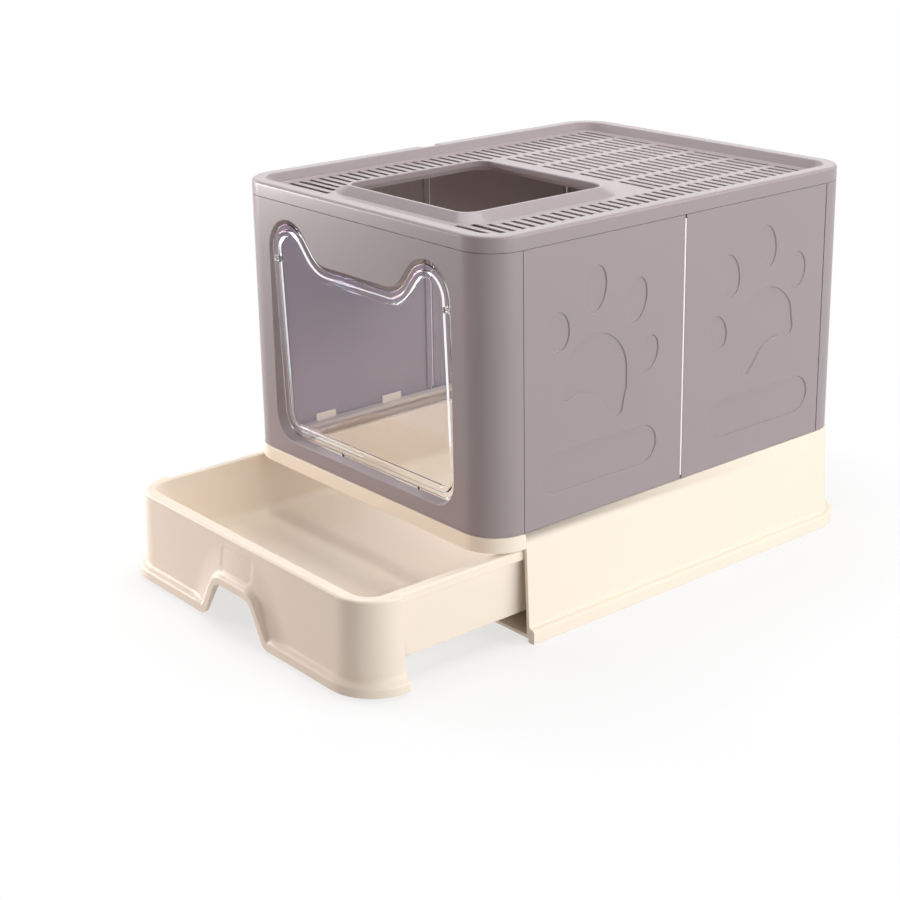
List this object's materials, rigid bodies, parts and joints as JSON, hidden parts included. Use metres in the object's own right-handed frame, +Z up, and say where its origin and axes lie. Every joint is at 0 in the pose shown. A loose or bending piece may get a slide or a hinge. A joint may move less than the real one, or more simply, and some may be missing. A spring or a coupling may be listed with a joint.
{
  "type": "drawer litter box",
  "caption": "Enclosed folding litter box with slide-out litter drawer, clear two-way cat-ear flap door and slotted top cover with an entry hole.",
  "frame": {"origin": "on the floor, at the centre of the base's footprint", "axes": "+Z up; the drawer pulls out and the flap door faces along -Y; +X is to the right for a viewer who looks along +Y at the door"},
  "size_m": [0.411, 0.657, 0.388],
  "materials": {
    "base_plastic": "satin moulded plastic",
    "drawer_plastic": "satin moulded plastic",
    "shell_plastic": "satin moulded plastic",
    "cover_plastic": "satin moulded plastic",
    "strip_plastic": "soft flexible plastic",
    "hinge_steel": "drawn steel wire",
    "door_clear": "clear moulded plastic"
  },
  "bodies": {
    "base": {"base_frame": "base_plastic"},
    "drawer": {"litter_drawer": "drawer_plastic"},
    "shell": {"front_panel": "shell_plastic", "rear_panel": "shell_plastic", "left_front_side_panel": "shell_plastic", "left_rear_side_panel": "shell_plastic", "right_front_side_panel": "shell_plastic", "right_rear_side_panel": "shell_plastic", "left_fold_strip": "strip_plastic", "right_fold_strip": "strip_plastic", "front_left_hinge_rod": "hinge_steel", "front_right_hinge_rod": "hinge_steel", "rear_left_hinge_rod": "hinge_steel", "rear_right_hinge_rod": "hinge_steel"},
    "cover": {"top_cover": "cover_plastic"},
    "door": {"entry_door": "door_clear"}
  },
  "joints": [
    {"name": "drawer_slide", "type": "slide", "parent": "base", "child": "drawer", "axis": [0, -1, 0], "range_m": [-0.144, 0.2]},
    {"name": "shell_lift", "type": "slide", "parent": "base", "child": "shell", "axis": [0, 0, 1], "range_m": [0, 0.1]},
    {"name": "cover_lift", "type": "slide", "parent": "shell", "child": "cover", "axis": [0, 0, 1], "range_m": [0, 0.1]},
    {"name": "door_swing", "type": "hinge", "parent": "shell", "child": "door", "pos_m": [0, -0.2385, 0.3135], "axis": [1, 0, 0], "range_deg": [-70, 70]}
  ]
}
